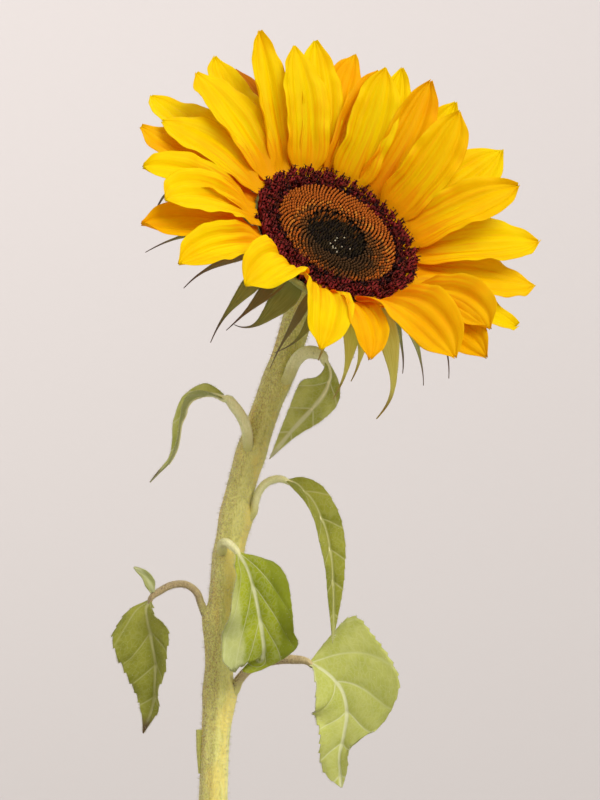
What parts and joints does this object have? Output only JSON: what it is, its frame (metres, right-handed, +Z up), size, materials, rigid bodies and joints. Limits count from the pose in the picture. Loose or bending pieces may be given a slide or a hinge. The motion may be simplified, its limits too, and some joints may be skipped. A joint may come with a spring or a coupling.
{
  "type": "sunflower plant",
  "caption": "Whole sunflower rooted at ground level: leaning bristly stem, stalked drooping leaves, curled bracts and one yellow-rayed head with a dark disc.",
  "frame": {"origin": "centre of the flat cut under the stem, at ground level", "axes": "+Z up along the stem, -Y the side the flower head looks towards, +X the side it leans towards"},
  "size_m": [0.2513, 0.1991, 0.6194],
  "materials": {
    "stem": "matte, bristly",
    "leaf_stalk": "matte, bristly",
    "leaf": "satin above, paler below",
    "petal": "satin",
    "bract": "matte, hairy",
    "open_floret": "matte",
    "floret_bud": "matte",
    "disc_centre": "matte"
  },
  "bodies": {
    "root": {"stem": "stem", "leaf_stub": "stem", "stalk_01": "leaf_stalk", "stalk_02": "leaf_stalk", "stalk_03": "leaf_stalk", "stalk_04": "leaf_stalk", "stalk_05": "leaf_stalk", "stalk_06": "leaf_stalk", "stalk_07": "leaf_stalk", "stalk_08": "leaf_stalk", "stalk_09": "leaf_stalk", "stalk_10": "leaf_stalk", "stalk_11": "leaf_stalk", "leaf_01": "leaf", "leaf_02": "leaf", "leaf_03": "leaf", "leaf_04": "leaf", "leaf_05": "leaf", "leaf_06": "leaf", "leaf_07": "leaf", "leaf_08": "leaf", "leaf_09": "leaf", "leaf_10": "leaf", "leaf_11": "leaf", "disc_open_florets": "open_floret", "disc_florets_in_bud": "floret_bud", "disc_green_centre": "disc_centre", "petal_01": "petal", "petal_02": "petal", "petal_03": "petal", "petal_04": "petal", "petal_05": "petal", "petal_06": "petal", "petal_07": "petal", "petal_08": "petal", "petal_09": "petal", "petal_10": "petal", "petal_11": "petal", "petal_12": "petal", "petal_13": "petal", "petal_14": "petal", "petal_15": "petal", "petal_16": "petal", "petal_17": "petal", "petal_18": "petal", "petal_19": "petal", "petal_20": "petal", "petal_21": "petal", "petal_22": "petal", "petal_23": "petal", "petal_24": "petal", "petal_25": "petal", "petal_26": "petal", "petal_27": "petal", "petal_28": "petal", "petal_29": "petal", "petal_30": "petal", "petal_31": "petal", "bract_cup": "bract"}
  },
  "joints": []
}
